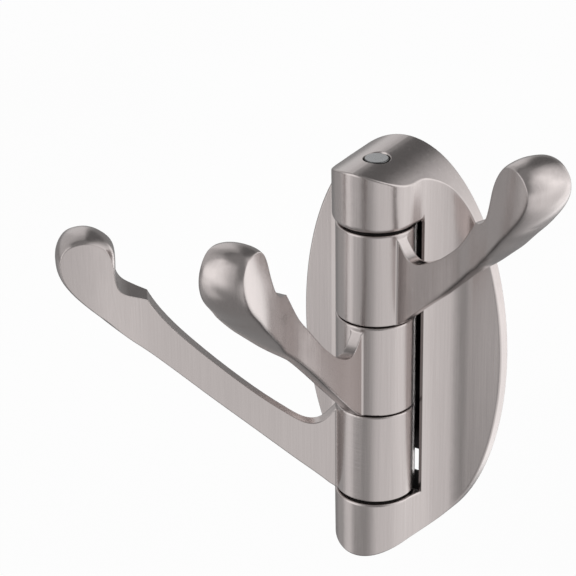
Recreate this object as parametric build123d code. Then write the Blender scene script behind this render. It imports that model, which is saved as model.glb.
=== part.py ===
from build123d import *
import os, math

# Folding wall hook: three swivel hooks of graduated reach on one vertical pin,
# carried between two bosses of an oval wall plate with a concealed fixing.
# Frame: origin at the centre of the back (wall) face, front faces -Y, +Z up, mm.

os.makedirs("parts", exist_ok=True)

# ---- driving dimensions ----
PLATE_HALF_W = 23.25      # half width of the oval plate
PLATE_HALF_H = 43.12      # half height of the oval plate
DRAFT_TOP = 0.024         # fall of the top surface per mm of projection
DRAFT_BOTTOM = 0.022      # rise of the bottom surface per mm of projection
AXIS_Y = -11.9            # pivot axis in front of the wall
NOSE_R = 8.425            # rounded front of the column at mid height
NOSE_TAPER = 0.00764      # the column narrows downwards by this much radius per mm
NOSE_Y = 11.9             # centre of the rounded front, from the wall
WING_T = 2.5              # plate thickness at the rim
BARREL_R = 8.0
BARREL_H = 19.42
GAP = 0.4                 # washer space between barrels
GAP_TOP = 0.59            # washer space under the top boss
GAP_BOT = 0.70            # washer space over the bottom boss
Z_TOP = 29.68             # top of the top barrel
PITCH = BARREL_H + GAP
CUT_Y = -8.9              # front plane of the slot
WIN_HALF = 8.5            # half width of the window behind the barrels
PIN_R = 2.39
BORE_R = 2.44             # running fit on the pin
PIN_BORE_R = 2.41         # pin seat in the plate casting
PIN_TOP = 42.78           # pin's end, level with the arched top
REST = {"hook_top": 71.0, "hook_middle": 4.7, "hook_bottom": -51.0}

Z_BARREL = [Z_TOP - BARREL_H, Z_TOP - BARREL_H - PITCH, Z_TOP - BARREL_H - 2 * PITCH]
Z_SLOT_TOP = Z_TOP + GAP_TOP
Z_SLOT_BOT = Z_BARREL[2] - GAP_BOT


# ---- wall plate casting: oval outline crossed with the plan profile ----
DEPTH = 24.0
b_front = PLATE_HALF_H - DEPTH * (DRAFT_TOP + DRAFT_BOTTOM) / 2
c_front = -DEPTH * (DRAFT_TOP - DRAFT_BOTTOM) / 2
back_pl = Plane(origin=(0, 0, 0), x_dir=(1, 0, 0), z_dir=(0, -1, 0))
front_pl = Plane(origin=(0, -DEPTH, c_front), x_dir=(1, 0, 0), z_dir=(0, -1, 0))
oval = loft(Sketch() + [back_pl * Ellipse(PLATE_HALF_W, PLATE_HALF_H),
                        front_pl * Ellipse(PLATE_HALF_W - 0.6, b_front)], ruled=True)

RIM = (24.5, -WING_T)
mirror_x = lambda q: (-q[0], q[1])


def plan_at(z, al, near):
    """plan profile at one height: round nose, flanks opening by al degrees and flaring out into the wings"""
    r = NOSE_R + NOSE_TAPER * z
    al = math.radians(al)
    start = (r * math.cos(al), -NOSE_Y - r * math.sin(al))
    flank = [start] + near + [(9.98, -7.1), (11.1, -5.5), (12.6, -4.05), (14.4, -3.15), (16.6, -2.72)]
    t0 = (math.sin(al), math.cos(al))
    t1 = (RIM[0] - flank[-1][0], RIM[1] - flank[-1][1])
    with BuildSketch(Plane.XY.offset(z)) as sk:
        with BuildLine():
            Spline(*flank, tangents=[t0, t1])
            Line(flank[-1], RIM)
            Line(RIM, (RIM[0], 0))
            Line((RIM[0], 0), (-RIM[0], 0))
            Line((-RIM[0], 0), mirror_x(RIM))
            Line(mirror_x(RIM), mirror_x(flank[-1]))
            Spline(*[mirror_x(q) for q in reversed(flank)], tangents=[(t1[0], -t1[1]), (t0[0], -t0[1])])
            ThreePointArc(mirror_x(start), (0, -NOSE_Y - r), start)
        make_face()
    return sk.sketch


plan_solid = loft(Sketch() + [plan_at(-60, 8.0, [(8.42, -11.1), (8.86, -9.8), (9.3, -8.6)]),
                              plan_at(60, 1.2, [(8.9, -11.1), (8.94, -9.8), (9.2, -8.6)])], ruled=True)
base = oval & plan_solid
# grub screw hole from below and blind pivot pin hole from above
base -= Pos(0, -4.2, -38.5) * Cylinder(1.98, 12.0)
base -= Pos(0, AXIS_Y, 6) * Cylinder(PIN_BORE_R, 92)


def soften(shape, sel, r):
    try:
        return fillet(sel(shape), r)
    except Exception as e:
        print("  edge softening skipped:", r, e)
        return shape


def outer_edge(s):
    """front edge of the oval outline, all the way round"""
    return [e for e in s.edges() if e.center().Y < -0.5 and e.length > 3 and e.bounding_box().size.Z < 80
            and e.bounding_box().min.Y < -2.3 and e.bounding_box().size.X > 1.0
            and (e.bounding_box().size.X > 8 or abs(e.center().X) > 3)]


base = soften(base, outer_edge, 0.38)
base -= Pos(0, AXIS_Y, PIN_TOP) * Cone(2.5, 3.1, 1.2)


slot_h = Z_SLOT_TOP - Z_SLOT_BOT
slot_mid = (Z_SLOT_TOP + Z_SLOT_BOT) / 2
base -= Pos(0, CUT_Y - 10, slot_mid) * Box(60, 20, slot_h)
base -= Pos(0, -10, slot_mid) * Box(2 * WIN_HALF, 30, slot_h)
# rear pocket for the fixing bracket, with a recess for its upper lip and lower tongue
base -= Pos(0, -1.0, (33.0 - 31.5) / 2) * Box(19.0, 2.0, 64.5)
base -= Pos(0, -2.4, 31.5) * Box(17.0, 4.8, 3.0)
base -= Pos(0, -3.3, -31.75) * Box(5.0, 6.6, 3.7)


def ring_edges(z):
    """rounded front edge of the boss at one height"""
    def f(s):
        return [e for e in s.edges() if abs(e.center().Z - z) < 0.02 and e.bounding_box().min.Y < -18
                and abs(e.bounding_box().size.Z) < 0.02 and e.bounding_box().size.X > 12]
    return f




def under_round(z, r, rad, slope=0.13):
    """what a rounding of radius rad takes off the underside of a boss, along its nose and both flanks"""
    with BuildSketch(Plane.XZ.offset(NOSE_Y)) as sk:
        with BuildLine():
            a, b = (r - rad, z), (r, z + rad)
            m = (r - rad + rad * math.sin(math.pi / 4), z + rad - rad * math.cos(math.pi / 4))
            ThreePointArc(a, m, b)
            Line(b, (r + 1.5, z + rad + 6))
            Line((r + 1.5, z + rad + 6), (r + 1.5, z - 0.4))
            Line((r + 1.5, z - 0.4), (r - rad, z - 0.4))
            Line((r - rad, z - 0.4), a)
        make_face()
    nose = revolve(sk.sketch, axis=Axis((0, -NOSE_Y, 0), (0, 0, -1)), revolution_arc=180)
    side = extrude(sk.sketch, amount=(NOSE_Y + CUT_Y) * math.hypot(1, slope), dir=(slope, 1, 0))
    return nose + side + mirror(side, Plane.YZ)


base -= under_round(Z_SLOT_TOP, NOSE_R + NOSE_TAPER * Z_SLOT_TOP + 0.015, 1.4)
base = soften(base, ring_edges(Z_SLOT_BOT), 0.45)
export_step(base, "parts/base.step")

# ---- hooks ----
# Side outlines (reach from the axis, height above the barrel foot).
# u: fillet at the barrel and the upper edge of the arm, up to the notch corner
# n: notch floor and back of the head
# h: head, round to the underside
ROOT_U = [(7.3, 19.15), (8.0, 18.3), (9.0, 17.2), (9.9, 16.3), (10.9, 15.55), (12.2, 15.15), (13.6, 15.25), (15.4, 16.0)]
PROFILES = {
    "hook_bottom": dict(
        u=ROOT_U + [(17.4, 17.35), (19.4, 18.85), (23.3, 21.95), (27.3, 25.45), (31.2, 29.05), (35.0, 32.75),
                    (38.9, 36.8), (42.5, 41.2), (44.9, 45.1)],
        n=[(44.9, 45.1), (46.6, 45.8), (48.3, 46.5), (49.5, 47.15), (50.4, 48.1), (50.9, 49.4), (51.15, 51.2),
           (51.25, 53.3), (51.6, 55.3), (52.6, 56.9)],
        h=[(52.6, 56.9), (54.4, 58.1), (56.5, 58.6), (58.3, 58.4), (59.9, 57.75), (60.9, 56.6), (61.4, 55.2),
           (61.45, 53.7), (61.2, 52.0), (60.5, 50.35), (59.4, 48.7), (57.8, 46.85), (56.0, 45.0), (54.1, 43.15)],
        v=[(50.5, 39.35), (44.9, 33.4), (39.1, 27.95), (33.3, 22.6), (27.4, 17.3), (21.5, 12.0), (15.5, 6.6),
           (11.4, 3.0), (9.5, 1.2)]),
    "hook_middle": dict(
        u=ROOT_U + [(17.4, 17.1), (19.4, 18.6), (23.3, 22.0), (27.1, 26.0), (30.6, 29.8), (33.2, 32.6), (35.6, 35.7),
                    (37.8, 38.6), (39.9, 41.15)],
        n=[(39.9, 41.15), (41.5, 41.6), (43.0, 42.2), (44.4, 43.1), (45.6, 44.4), (46.5, 45.9), (47.2, 47.6),
           (47.8, 49.3), (48.3, 51.1), (49.0, 52.8), (50.1, 54.2)],
        h=[(50.1, 54.2), (51.6, 55.05), (53.6, 55.4), (55.7, 55.0), (57.2, 53.7), (58.1, 51.6), (58.15, 49.7),
           (57.7, 47.9), (56.9, 46.2), (55.8, 44.65), (54.4, 43.1), (52.4, 40.8)],
        v=[(50.1, 38.4), (47.2, 35.65), (43.9, 32.55), (39.6, 28.7), (34.5, 24.7), (29.4, 20.2), (25.4, 16.3),
           (21.4, 12.3), (17.3, 8.3), (13.2, 4.3), (9.6, 1.0)]),
    "hook_top": dict(
        u=ROOT_U + [(18.3, 17.6), (21.1, 19.4), (23.9, 21.7), (25.6, 23.2), (27.3, 25.0), (29.4, 27.7), (31.2, 29.9),
                    (32.5, 31.6)],
        n=[(32.5, 31.6), (33.5, 31.75), (34.6, 32.2), (35.6, 33.1), (36.4, 34.3), (36.95, 35.8), (37.4, 37.6),
           (37.9, 39.9), (38.7, 42.2), (40.0, 44.4)],
        h=[(40.0, 44.4), (41.8, 46.0), (44.3, 46.75), (46.5, 46.2), (48.0, 45.05), (48.7, 43.9), (48.9, 42.6),
           (48.7, 41.1), (48.0, 39.4), (46.8, 37.5), (45.3, 35.6)],
        v=[(43.6, 33.6), (41.8, 31.7), (39.6, 29.2), (37.4, 26.85), (35.0, 24.45), (32.6, 22.2), (30.1, 19.95),
           (27.2, 17.2), (24.2, 14.4), (21.2, 11.6), (18.3, 9.1), (15.4, 6.6), (12.3, 3.8), (9.6, 1.3)]),
}
FOOT = (7.3, -0.6)
# half width of the hook against reach at the height Z_REF; round the head it grows downwards by FLARE per mm
Z_REF = {"hook_top": 38.0, "hook_middle": 42.0, "hook_bottom": 46.0}
WIDTHS = {
    "hook_top": [(12.5, 1.22), (18, 1.33), (24, 1.44), (27, 1.62), (29, 1.95), (31, 2.4), (33.5, 2.9), (36, 3.45),
                 (38, 4.0), (40, 4.45), (42, 4.9), (44, 5.25), (46.5, 5.5), (50.5, 5.5)],
    "hook_middle": [(12.5, 1.22), (20, 1.34), (29, 1.46), (33.5, 1.6), (36, 1.85), (38.5, 2.3), (40.5, 2.7),
                    (42.5, 3.15), (44.5, 3.6), (47, 4.15), (50, 4.7), (52.4, 5.0), (55, 5.2), (60, 5.25)],
    "hook_bottom": [(12.5, 1.24), (20, 1.38), (31, 1.5), (35, 1.62), (38.9, 1.8), (42.6, 2.05), (44.9, 2.2),
                    (46.6, 2.5), (48.3, 3.1), (50.5, 3.8), (52.8, 4.45), (55, 4.95), (57.5, 5.25), (60, 5.35),
                    (64, 5.35)],
}
FLARE = 0.075
ROOT_W = 1.15             # half width where the arm leaves the barrel
ROOT_R = 0.5              # fillet between the arm's sides and the barrel
CROWN = 0.95


def share(front, s):
    """how much of the flare is in at a given reach: none on the arm, all of it at the head"""
    t = min(1.0, max(0.0, (s - (front - 18)) / 10.0))
    return t * t * (3 - 2 * t)


def half_width(name, front, s, z):
    tab = [(8.5, ROOT_W)] + WIDTHS[name]
    w = tab[-1][1]
    for (a, wa), (b, wb) in zip(tab, tab[1:]):
        if s <= b:
            w = wa + (wb - wa) * max(0.0, s - a) / (b - a)
            break
    return w + FLARE * share(front, s) * (Z_REF[name] - z)


def crown_at(y, w):
    """how far the rim stands proud of the side face's edge at y from the middle, for a half width w"""
    e = lambda v: math.sqrt(max(0.0, 1 - (v / (1.2 * w)) ** 2))
    return CROWN * (w / 4.65) ** 1.2 * (e(y) - e(w)) / (1 - e(w))


def normals(pts):
    out = []
    for i in range(len(pts)):
        a = pts[max(i - 1, 0)]
        b = pts[min(i + 1, len(pts) - 1)]
        dx, dz = b[0] - a[0], b[1] - a[1]
        l = math.hypot(dx, dz)
        out.append((-dz / l, dx / l))
    return out


def hook(name):
    p = PROFILES[name]
    u, n, h, v = p["u"], p["n"], p["h"], p["v"]
    front = max(q[0] for q in h)
    all_h = n + h[1:] + v
    nn = normals(all_h)
    # share of the crown: none on the notch floor, full round the head and underneath
    k = [0.0 if i < 5 else min(1.0, (i - 4) / (len(n) - 5)) for i in range(len(n))] + [1.0] * (len(h) - 1 + len(v))
    wide = [half_width(name, front, a[0], a[1]) for a in all_h]
    secs = []
    for y in (-6.6, -5.4, -4.2, -2.6, 0.0, 2.6, 4.2, 5.4, 6.6):
        off = [crown_at(abs(y), w) * kk for w, kk in zip(wide, k)]
        q = [(a[0] + b[0] * c, a[1] + b[1] * c) for a, b, c in zip(all_h, nn, off)]
        qn, qh, qv = q[:len(n)], q[len(n) - 1:len(n) + len(h) - 1], q[len(n) + len(h) - 2:]
        pl = Plane(origin=(y, 0, 0), x_dir=(0, -1, 0), z_dir=(-1, 0, 0))
        e1 = Spline(*u)
        e2 = Spline(*qn)
        e3 = Spline(*qh)
        e4 = Spline(*qv)
        e5 = Line(qv[-1], FOOT)
        e6 = Line(FOOT, u[0])
        secs.append(pl * make_face(Wire([e1, e2, e3, e4, e5, e6]).edges()))
    body = loft(Sketch() + secs)
    yc = math.sqrt((BARREL_R + ROOT_R) ** 2 - (ROOT_W + ROOT_R) ** 2)
    foot = (ROOT_W, -yc)
    touch = ((ROOT_W + ROOT_R) * BARREL_R / (BARREL_R + ROOT_R), -yc * BARREL_R / (BARREL_R + ROOT_R))
    a0, a1 = math.pi, math.atan2(yc, -(ROOT_W + ROOT_R))
    am = (a0 + a1) / 2
    mid = (ROOT_W + ROOT_R + ROOT_R * math.cos(am), -yc + ROOT_R * math.sin(am))

    def plan_view(z):
        """outline from above, at one height"""
        right = [foot] + [(w + FLARE * share(front, r) * (Z_REF[name] - z), -r) for r, w in WIDTHS[name]]
        with BuildSketch(Plane.XY.offset(z)) as pv:
            with BuildLine():
                Line((0, -6.5), (touch[0], -6.5))
                Line((touch[0], -6.5), touch)
                ThreePointArc(touch, mid, foot)
                Spline(*right, tangents=[(0.018, -1), (0, -1)])
                Line(right[-1], (-right[-1][0], right[-1][1]))
                Spline(*[mirror_x(q) for q in reversed(right)], tangents=[(0, 1), (0.018, 1)])
                ThreePointArc(mirror_x(foot), mirror_x(mid), mirror_x(touch))
                Line(mirror_x(touch), (-touch[0], -6.5))
                Line((-touch[0], -6.5), (0, -6.5))
            make_face()
        return pv.sketch

    body = body & loft(Sketch() + [plan_view(-5), plan_view(75)], ruled=True)
    barrel = Cylinder(BARREL_R, BARREL_H, align=(Align.CENTER, Align.CENTER, Align.MIN))
    barrel = soften(barrel, lambda q: q.edges().filter_by(GeomType.CIRCLE).sort_by(Axis.Z)[-1:], 0.35)
    barrel = soften(barrel, lambda q: q.edges().filter_by(GeomType.CIRCLE).sort_by(Axis.Z)[:1], 0.2)
    # keep the arm above the foot plane of its barrel
    body -= Pos(0, 0, -5) * Box(60, 60, 10)
    part = barrel + body
    part -= Cylinder(BORE_R, BARREL_H * 3)
    return part


hooks = {}
for i, name in enumerate(("hook_top", "hook_middle", "hook_bottom")):
    h = hook(name)
    solids = h.solids()
    print(name, "solids", len(solids), "volume", round(h.volume, 1))
    h = Pos(0, AXIS_Y, Z_BARREL[i]) * Rot(0, 0, REST[name]) * h
    hooks[name] = h
    export_step(h, f"parts/{name}.step")

# ---- pivot pin: plain ground pin, dished top level with the casting ----
pin = Pos(0, AXIS_Y, (PIN_TOP - 39.5) / 2) * Cylinder(PIN_R, PIN_TOP + 39.5)
pin = soften(pin, lambda s: s.edges().filter_by(GeomType.CIRCLE), 0.2)
export_step(pin, "parts/pivot_pin.step")

# ---- friction washers in the four gaps ----
for i, (z, gap) in enumerate([(Z_TOP, GAP_TOP), (Z_BARREL[0] - GAP, GAP), (Z_BARREL[1] - GAP, GAP),
                              (Z_BARREL[2] - GAP_BOT, GAP_BOT)]):
    w = Cylinder(6.6, gap - 0.1, align=(Align.CENTER, Align.CENTER, Align.MIN)) - Cylinder(2.5, 4)
    export_step(Pos(0, AXIS_Y, z + 0.05) * w, f"parts/washer_{i + 1}.step")

# ---- concealed fixing bracket: pressed steel strip, upper lip and lower tongue ----
br = Pos(0, -0.9, (31.2 - 25.2) / 2) * Box(16.0, 1.8, 56.4)
br += Pos(0, -2.25, 32.1) * Box(15.0, 4.5, 1.8)
br += Pos(0, -0.9, -28.8) * Box(4.3, 1.8, 7.4)
br += Pos(0, -3.0, -31.75) * Box(4.3, 6.0, 1.5)
for z in (17.0, -15.0):
    br -= Pos(0, 0, z) * Rot(90, 0, 0) * Cylinder(2.2, 8)
    br -= Pos(0, -1.25, z) * Rot(90, 0, 0) * Cone(2.2, 3.3, 1.1)
export_step(br, "parts/wall_bracket.step")

# ---- grub screw with hexagon socket, turned up against the tongue ----
gs = Pos(0, -4.2, -37.0) * Cylinder(1.94, 9.0)
gs -= Pos(0, -4.2, -41.5) * extrude(RegularPolygon(1.15, 6), 5.0, both=True)
gs += Pos(0, -4.2, -32.5 - 0.25) * Cylinder(1.2, 0.5)
export_step(gs, "parts/set_screw.step")
print("done")
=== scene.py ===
import math

import bpy
from mathutils import Matrix, Vector

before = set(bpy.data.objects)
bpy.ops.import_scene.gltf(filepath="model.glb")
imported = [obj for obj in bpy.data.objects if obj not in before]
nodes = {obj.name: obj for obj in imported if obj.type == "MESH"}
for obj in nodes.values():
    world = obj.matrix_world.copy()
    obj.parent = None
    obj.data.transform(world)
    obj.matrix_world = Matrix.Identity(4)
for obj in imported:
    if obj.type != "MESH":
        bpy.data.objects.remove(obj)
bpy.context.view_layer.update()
scene = bpy.context.scene

MM = 0.001
AXIS = Vector((0.0, -11.9 * MM, 0.0))


# ------------------------------------------------------------------ camera
def make_camera():
    cam_data = bpy.data.cameras.new("camera")
    cam = bpy.data.objects.new("camera", cam_data)
    scene.collection.objects.link(cam)
    fwd = Vector((-0.50778701, 0.73678291, -0.44643396))
    right = Vector((0.82641331, 0.56295857, -0.01089452))
    up = Vector((-0.24329693, 0.37447107, 0.89475026))
    rot = Matrix((right, up, -fwd)).transposed().to_4x4()
    cam.matrix_world = Matrix.Translation(Vector((0.243366, -0.395521, 0.241582))) @ rot
    cam_data.sensor_width = 36.0
    cam_data.sensor_fit = "HORIZONTAL"
    cam_data.lens = 2582.02 / 576.0 * 36.0
    cam_data.clip_start = 0.01
    cam_data.clip_end = 20.0
    scene.camera = cam
    return cam


cam = make_camera()


# ------------------------------------------------------------------ materials
class Net:
    """Small helper around one material's node tree."""

    def __init__(self, name):
        self.mat = bpy.data.materials.new(name)
        self.mat.use_nodes = True
        self.nt = self.mat.node_tree
        self.nt.nodes.clear()
        self.out = self.nt.nodes.new("ShaderNodeOutputMaterial")
        self.bsdf = self.nt.nodes.new("ShaderNodeBsdfPrincipled")
        self.nt.links.new(self.bsdf.outputs[0], self.out.inputs[0])

    def node(self, kind, **props):
        n = self.nt.nodes.new(kind)
        for k, v in props.items():
            setattr(n, k, v)
        return n

    def link(self, a, b):
        self.nt.links.new(a, b)

    def coords(self, scale=(1, 1, 1), rot=(0, 0, 0), loc=(0, 0, 0)):
        tc = self.node("ShaderNodeTexCoord")
        mp = self.node("ShaderNodeMapping")
        mp.inputs["Location"].default_value = loc
        mp.inputs["Rotation"].default_value = rot
        mp.inputs["Scale"].default_value = scale
        self.link(tc.outputs["Object"], mp.inputs["Vector"])
        return mp.outputs["Vector"]

    def noise(self, vec, scale, detail=4.0, rough=0.6):
        n = self.node("ShaderNodeTexNoise")
        n.inputs["Scale"].default_value = scale
        n.inputs["Detail"].default_value = detail
        n.inputs["Roughness"].default_value = rough
        self.link(vec, n.inputs["Vector"])
        return n.outputs["Fac"]

    def ramp(self, fac, stops):
        r = self.node("ShaderNodeValToRGB")
        el = r.color_ramp.elements
        el[0].position, el[0].color = stops[0][0], stops[0][1]
        el[1].position, el[1].color = stops[-1][0], stops[-1][1]
        for p, c in stops[1:-1]:
            e = el.new(p)
            e.color = c
        self.link(fac, r.inputs["Fac"])
        return r.outputs["Color"]

    def maprange(self, fac, a, b, c, d):
        m = self.node("ShaderNodeMapRange")
        for i, v in enumerate((a, b, c, d)):
            m.inputs[i + 1].default_value = v
        self.link(fac, m.inputs["Value"])
        return m.outputs["Result"]

    def math(self, op, a, b):
        m = self.node("ShaderNodeMath", operation=op)
        for i, v in enumerate((a, b)):
            if isinstance(v, (int, float)):
                m.inputs[i].default_value = v
            else:
                self.link(v, m.inputs[i])
        return m.outputs[0]

    def bump(self, height, strength, distance, normal=None):
        b = self.node("ShaderNodeBump")
        b.inputs["Strength"].default_value = strength
        b.inputs["Distance"].default_value = distance
        self.link(height, b.inputs["Height"])
        if normal is not None:
            self.link(normal, b.inputs["Normal"])
        return b.outputs["Normal"]


    def round_edges(self, radius):
        """normal with the sharp edges softened, as on a tumbled and plated casting"""
        b = self.node("ShaderNodeBevel", samples=8)
        b.inputs["Radius"].default_value = radius
        return b.outputs["Normal"]

    def mix_col(self, fac, a, b):
        m = self.node("ShaderNodeMix", data_type="RGBA")
        self.link(fac, m.inputs[0])
        for s, v in ((m.inputs[6], a), (m.inputs[7], b)):
            if isinstance(v, tuple):
                s.default_value = v
            else:
                self.link(v, s)
        return m.outputs[2]

    def xyz(self):
        tc = self.node("ShaderNodeTexCoord")
        sep = self.node("ShaderNodeSeparateXYZ")
        self.link(tc.outputs["Object"], sep.inputs[0])
        return sep.outputs["X"], sep.outputs["Y"], sep.outputs["Z"]

    def from_pivot(self):
        """distance from the pivot's centre line"""
        x, y, z = self.xyz()
        y = self.math("SUBTRACT", y, -11.9 * MM)
        return self.math("SQRT", self.math("ADD", self.math("MULTIPLY", x, x), self.math("MULTIPLY", y, y)), 0.0)

    def band(self, v, a, b, soft):
        """1 between a and b, falling off over soft on both sides"""
        lo = self.maprange(v, a - soft, a, 0.0, 1.0)
        hi = self.maprange(v, b, b + soft, 1.0, 0.0)
        return self.math("MULTIPLY", lo, hi)


def c3(r, g, b):
    return (r, g, b, 1.0)


def satin(name, base=(0.60, 0.548, 0.535), rough=0.24, spread=0.06, tone=0.05, bump=0.14, fine_scale=3400.0, turned=0.0,
          soft=0.34, painted_edge_shade=0.0, casting=False):
    """Satin nickel: very fine streaks up and down, a little uneven in depth and gloss. turned: depth of the turning
    lines
    round the barrels. painted_edge_shade: painted shade, how much darker the colour is made along the arm's and head's
    rounded edges that face sideways and down. casting: the wall casting, with painted shade inside its slot, on the
    slot's front rim and in the gap round the pin; inside the slot it is also rougher."""
    n = Net(name)
    fine = n.noise(n.coords(scale=(fine_scale, fine_scale, 60.0)), 1.0, 3.0, 0.6)
    wide = n.noise(n.coords(scale=(fine_scale * 0.25, fine_scale * 0.25, 14.0), loc=(3.1, 1.7, 9.2)), 1.0, 3.0, 0.55)
    patch = n.noise(n.coords(scale=(60, 60, 60)), 1.0, 3.0, 0.5)
    mix = n.math("ADD", n.math("MULTIPLY", fine, 0.7), n.math("MULTIPLY", wide, 0.3))
    lo = tuple(v * (1 - tone) for v in base)
    hi = tuple(min(1.0, v * (1 + tone)) for v in base)
    col = n.ramp(mix, [(0.32, c3(*lo)), (0.68, c3(*hi))])
    tc = n.node("ShaderNodeTexCoord")
    sp = n.node("ShaderNodeSeparateXYZ")
    n.link(tc.outputs["Normal"], sp.inputs[0])
    upright = n.maprange(n.math("ABSOLUTE", sp.outputs["Z"], 0.0), 0.35, 0.75, 1.0, 0.15)
    height = n.math("MULTIPLY", mix, upright)
    if turned:
        on = n.maprange(n.from_pivot(), 8.02 * MM, 8.10 * MM, 1.0, 0.0)
        lines = n.noise(n.coords(scale=(40.0, 40.0, 5200.0)), 1.0, 2.0, 0.5)
        height = n.math("ADD", height, n.math("MULTIPLY", n.math("MULTIPLY", lines, on), turned))
    # painted shade: the colour goes near-black along the rounded edges of the arm and head that face sideways and down,
    # out beyond 16 mm from the pin, where those edges fall into shade
    if painted_edge_shade:
        wide_edge = n.node("ShaderNodeBevel", samples=8)
        wide_edge.inputs["Radius"].default_value = 1.6 * MM
        dot = n.node("ShaderNodeVectorMath", operation="DOT_PRODUCT")
        n.link(wide_edge.outputs["Normal"], dot.inputs[0])
        n.link(n.node("ShaderNodeNewGeometry").outputs["True Normal"], dot.inputs[1])
        sep = n.node("ShaderNodeSeparateXYZ")
        n.link(wide_edge.outputs["Normal"], sep.inputs[0])
        edge = n.math("MULTIPLY", n.maprange(dot.outputs["Value"], 0.999, 0.90, 0.0, 1.0), n.maprange(sep.outputs["Z"], 0.25, -0.05, 0.0, 1.0))
        edge = n.math("MULTIPLY", edge, n.maprange(n.from_pivot(), 16.0 * MM, 24.0 * MM, 0.0, painted_edge_shade))
        col = n.mix_col(edge, col, c3(0.10, 0.088, 0.085))
    if casting:
        # painted shade: near-black colour inside the slot, on the front face of the slot's rim and in the gap round the
        # pin, where shade falls; inside the slot the surface is also made rougher, as cast
        x, y, z = n.xyz()
        ax = n.math("ABSOLUTE", x, 0.0)
        slot_shade_and_cast = n.math("MULTIPLY", n.math("MULTIPLY", n.band(ax, -1.0, 8.58 * MM, 0.05 * MM), n.band(y, -8.8 * MM, 1.0, 0.1 * MM)),
                        n.band(z, -30.3 * MM, 30.5 * MM, 0.2 * MM))
        joint_shade = n.math("MULTIPLY", n.band(n.from_pivot(), 0.0, 2.62 * MM, 0.08 * MM), n.band(z, 40.0 * MM, 44.0 * MM, 0.1 * MM))
        rim_shade = n.math("MULTIPLY", n.math("MULTIPLY", n.band(ax, 8.3 * MM, 9.4 * MM, 0.05 * MM), n.band(y, -8.96 * MM, -8.86 * MM, 0.03 * MM)),
                     n.band(z, -30.1 * MM, 30.3 * MM, 0.1 * MM))
        painted_shade = n.math("MAXIMUM", n.math("MAXIMUM", slot_shade_and_cast, n.math("MULTIPLY", rim_shade, 0.55)), n.math("MULTIPLY", joint_shade, 0.75))
        col = n.mix_col(painted_shade, col, c3(0.030, 0.027, 0.026))
    n.link(col, n.bsdf.inputs["Base Color"])
    n.bsdf.inputs["Metallic"].default_value = 1.0
    r = n.maprange(mix, 0.3, 0.7, rough - spread / 2, rough + spread / 2)
    r = n.math("ADD", r, n.maprange(patch, 0.3, 0.7, -0.02, 0.02))
    if casting:
        r = n.math("ADD", r, n.math("MULTIPLY", slot_shade_and_cast, 0.35))
    n.link(r, n.bsdf.inputs["Roughness"])
    n.link(n.bump(height, bump, 0.00005, n.round_edges(soft * MM)), n.bsdf.inputs["Normal"])
    return n.mat


m_plate = satin("satin_nickel_plate", soft=0.22, casting=True)
m_hook = satin("satin_nickel_hooks", turned=0.7, painted_edge_shade=0.9)
m_hook_low = satin("satin_nickel_bottom_hook", turned=3.5)


def plain_metal(name, base, rough, scale=900.0, tone=0.06, bump=0.08):
    n = Net(name)
    f = n.noise(n.coords(scale=(scale, scale, scale)), 1.0, 4.0, 0.6)
    lo = tuple(v * (1 - tone) for v in base)
    hi = tuple(min(1.0, v * (1 + tone)) for v in base)
    n.link(n.ramp(f, [(0.3, c3(*lo)), (0.7, c3(*hi))]), n.bsdf.inputs["Base Color"])
    n.bsdf.inputs["Metallic"].default_value = 1.0
    n.link(n.maprange(f, 0.3, 0.7, rough - 0.04, rough + 0.04), n.bsdf.inputs["Roughness"])
    n.link(n.bump(f, bump, 0.00003, n.round_edges(0.15 * MM)), n.bsdf.inputs["Normal"])
    return n.mat


def ground_pin():
    """ground steel pin: a little bluer than the plating, with painted shade in the gap round its end"""
    n = Net("ground_pin")
    f = n.noise(n.coords(scale=(900, 900, 900)), 1.0, 4.0, 0.6)
    col = n.ramp(f, [(0.3, c3(0.62, 0.63, 0.64)), (0.7, c3(0.68, 0.69, 0.70))])
    # painted shade: a dark ring round the pin's end, where the gap to the boss falls into shade
    rim_shade = n.band(n.from_pivot(), 2.26 * MM, 3.0 * MM, 0.08 * MM)
    n.link(n.mix_col(n.math("MULTIPLY", rim_shade, 0.8), col, c3(0.04, 0.04, 0.04)), n.bsdf.inputs["Base Color"])
    n.bsdf.inputs["Metallic"].default_value = 1.0
    n.link(n.maprange(f, 0.3, 0.7, 0.24, 0.30), n.bsdf.inputs["Roughness"])
    n.link(n.bump(f, 0.06, 0.00003), n.bsdf.inputs["Normal"])
    return n.mat


m_pin = ground_pin()
# the bracket's near-black colour is partly painted shade: it is made this dark so that the slot behind the window reads
# as unlit
m_bracket = plain_metal("dark_bracket_slot_shade", (0.050, 0.050, 0.052), 0.5, scale=260.0, tone=0.2)
m_screw = plain_metal("black_oxide_screw", (0.06, 0.06, 0.065), 0.42)


def nylon():
    n = Net("black_nylon")
    f = n.noise(n.coords(scale=(700, 700, 700)), 1.0, 3.0, 0.5)
    n.link(n.ramp(f, [(0.3, c3(0.010, 0.010, 0.010)), (0.7, c3(0.022, 0.021, 0.020))]), n.bsdf.inputs["Base Color"])
    n.link(n.maprange(f, 0.3, 0.7, 0.5, 0.65), n.bsdf.inputs["Roughness"])
    return n.mat


m_nylon = nylon()


def assign(node, mat):
    o = nodes[node]
    o.data.materials.clear()
    o.data.materials.append(mat)


assign("base", m_plate)
assign("hook_top", m_hook)
assign("hook_middle", m_hook)
assign("hook_bottom", m_hook_low)
assign("pivot_pin", m_pin)
for i in range(1, 5):
    assign(f"washer_{i}", m_nylon)
assign("wall_bracket", m_bracket)
assign("set_screw", m_screw)


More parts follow.
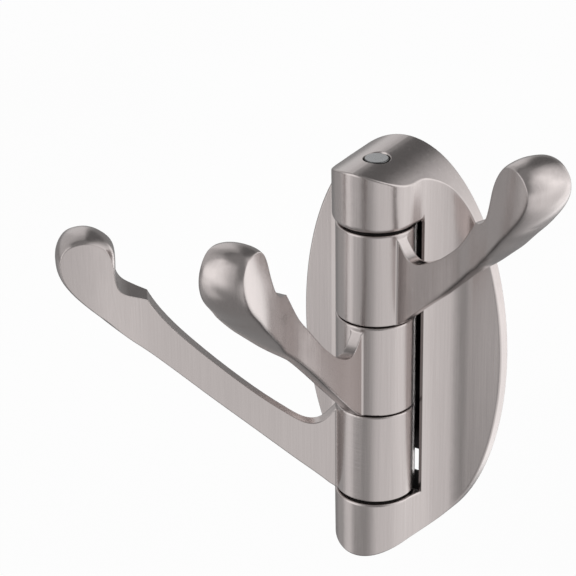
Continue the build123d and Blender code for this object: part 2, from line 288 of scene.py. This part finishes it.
# ------------------------------------------------------------------ floor and light
def make_floor():
    me = bpy.data.meshes.new("floor")
    s, z = 6.0, -0.30
    me.from_pydata([(-s, -s, z), (s, -s, z), (s, s, z), (-s, s, z)], [], [(0, 1, 2, 3)])
    o = bpy.data.objects.new("floor", me)
    scene.collection.objects.link(o)
    n = Net("pale_floor")
    f = n.noise(n.coords(scale=(3, 3, 3)), 1.0, 2.0, 0.5)
    col = n.ramp(f, [(0.3, c3(0.965, 0.965, 0.965)), (0.7, c3(0.975, 0.975, 0.975))])
    n.link(col, n.bsdf.inputs["Emission Color"])
    n.bsdf.inputs["Emission Strength"].default_value = 1.0
    n.bsdf.inputs["Base Color"].default_value = c3(0.02, 0.02, 0.02)
    n.bsdf.inputs["Roughness"].default_value = 1.0
    n.bsdf.inputs["Specular IOR Level"].default_value = 0.0
    me.materials.append(n.mat)
    o.visible_glossy = False
    o.visible_diffuse = False
    return o


floor = make_floor()


class Studio:
    """Soft boxes and darker gaps around the object, by direction: azimuth from straight out of the wall
    (positive to the right) and elevation, in degrees."""

    def __init__(self):
        w = bpy.data.worlds.new("studio")
        scene.world = w
        w.use_nodes = True
        self.nt = w.node_tree
        self.nt.nodes.clear()
        out = self.nt.nodes.new("ShaderNodeOutputWorld")
        tc = self.nt.nodes.new("ShaderNodeTexCoord")
        sep = self.nt.nodes.new("ShaderNodeSeparateXYZ")
        self.nt.links.new(tc.outputs["Generated"], sep.inputs[0])
        self.az = self.m("ARCTAN2", sep.outputs["X"], self.m("MULTIPLY", sep.outputs["Y"], -1.0))
        self.el = self.m("ARCSINE", sep.outputs["Z"], 0.0)
        self.total = None
        self.out = out

    def m(self, op, a, b):
        n = self.nt.nodes.new("ShaderNodeMath")
        n.operation = op
        for i, v in enumerate((a, b)):
            if isinstance(v, (int, float)):
                n.inputs[i].default_value = v
            else:
                self.nt.links.new(v, n.inputs[i])
        return n.outputs[0]

    def step(self, v, a, b):
        n = self.nt.nodes.new("ShaderNodeMapRange")
        n.interpolation_type = "SMOOTHSTEP"
        n.inputs[1].default_value = math.radians(a)
        n.inputs[2].default_value = math.radians(b)
        self.nt.links.new(v, n.inputs[0])
        return n.outputs[0]

    def box(self, az0, az1, el0, el1, soft, strength, soft_el=None):
        """a patch of light between two azimuths and two elevations with soft edges"""
        se = soft if soft_el is None else soft_el
        h = self.m("MULTIPLY", self.step(self.az, az0 - soft, az0 + soft),
                   self.m("SUBTRACT", 1.0, self.step(self.az, az1 - soft, az1 + soft)))
        v = self.m("MULTIPLY", self.step(self.el, el0 - se, el0 + se),
                   self.m("SUBTRACT", 1.0, self.step(self.el, el1 - se, el1 + se)))
        p = self.m("MULTIPLY", self.m("MULTIPLY", h, v), strength)
        self.total = p if self.total is None else self.m("ADD", self.total, p)

    def finish(self, base):
        nt = self.nt
        val = self.m("MAXIMUM", self.m("ADD", self.total, base), 0.02)
        bg = nt.nodes.new("ShaderNodeBackground")
        bg.inputs["Color"].default_value = (1.0, 1.0, 1.0, 1.0)
        nt.links.new(val, bg.inputs["Strength"])
        pale = nt.nodes.new("ShaderNodeBackground")
        pale.inputs["Color"].default_value = (0.97, 0.97, 0.97, 1.0)
        lp = nt.nodes.new("ShaderNodeLightPath")
        mix = nt.nodes.new("ShaderNodeMixShader")
        nt.links.new(lp.outputs["Is Camera Ray"], mix.inputs[0])
        nt.links.new(bg.outputs[0], mix.inputs[1])
        nt.links.new(pale.outputs[0], mix.inputs[2])
        nt.links.new(mix.outputs[0], self.out.inputs[0])


st = Studio()
st.box(-58, -10, -21, 52, 14, 0.84)          # large soft box to the left
st.box(99, 160, -62, 66, 20, 0.66)           # large soft box to the right
st.box(66, 124, 7, 62, 14, 0.46)             # its near edge
st.box(60, 190, -14, 6, 20, 0.42)            # the horizon to the right
st.box(-68, -38, -50, -18, 5, 0.44)          # light off the floor, left of the camera
st.box(22, 102, -60, -4, 20, 0.55)           # light off the floor, right of the camera
st.box(-54, 13, -41, 29, 15, 0.10)           # soft light from the front
st.box(-104, -66, -46, -14, 8, 0.16)
st.box(140, 181, -48, -12, 8, 0.52)          # light off the floor, right of the wall
st.box(168, 190, -61, 12, 16, 0.90)          # light from behind
st.box(-190, -172, -40, -22, 8, 0.90)
st.box(-148, -67, -1, 58, 5, 0.30)           # wall at the back left
st.box(-145, -124, 2, 38, 4, 0.20)           # a lamp on it
st.box(-181, -150, 16, 62, 4, -0.13)         # dark ceiling edge over the wall
st.box(172, 181, 16, 62, 5, -0.10)
st.box(-146, -81, 43, 65, 7, -0.16)
st.finish(0.265)


def soft_lamp(az, el, dist, size, power):
    """a square lamp aimed at the object, from a direction and a distance"""
    a, e = math.radians(az), math.radians(el)
    ld = bpy.data.lights.new("soft_lamp", "AREA")
    ld.shape = "SQUARE"
    ld.size = size
    ld.energy = power
    o = bpy.data.objects.new("soft_lamp", ld)
    scene.collection.objects.link(o)
    d = Vector((math.sin(a) * math.cos(e), -math.cos(a) * math.cos(e), math.sin(e)))
    o.location = d * dist
    o.rotation_euler = (-d).to_track_quat("-Z", "Y").to_euler()
    return o


soft_lamp(-42, 8, 1.6, 0.7, 0.20)
soft_lamp(118, 12, 1.6, 0.7, 0.16)
soft_lamp(-46, 50, 1.6, 0.40, 0.16)

# colours come out as the studio light gives them
scene.view_settings.view_transform = "Standard"
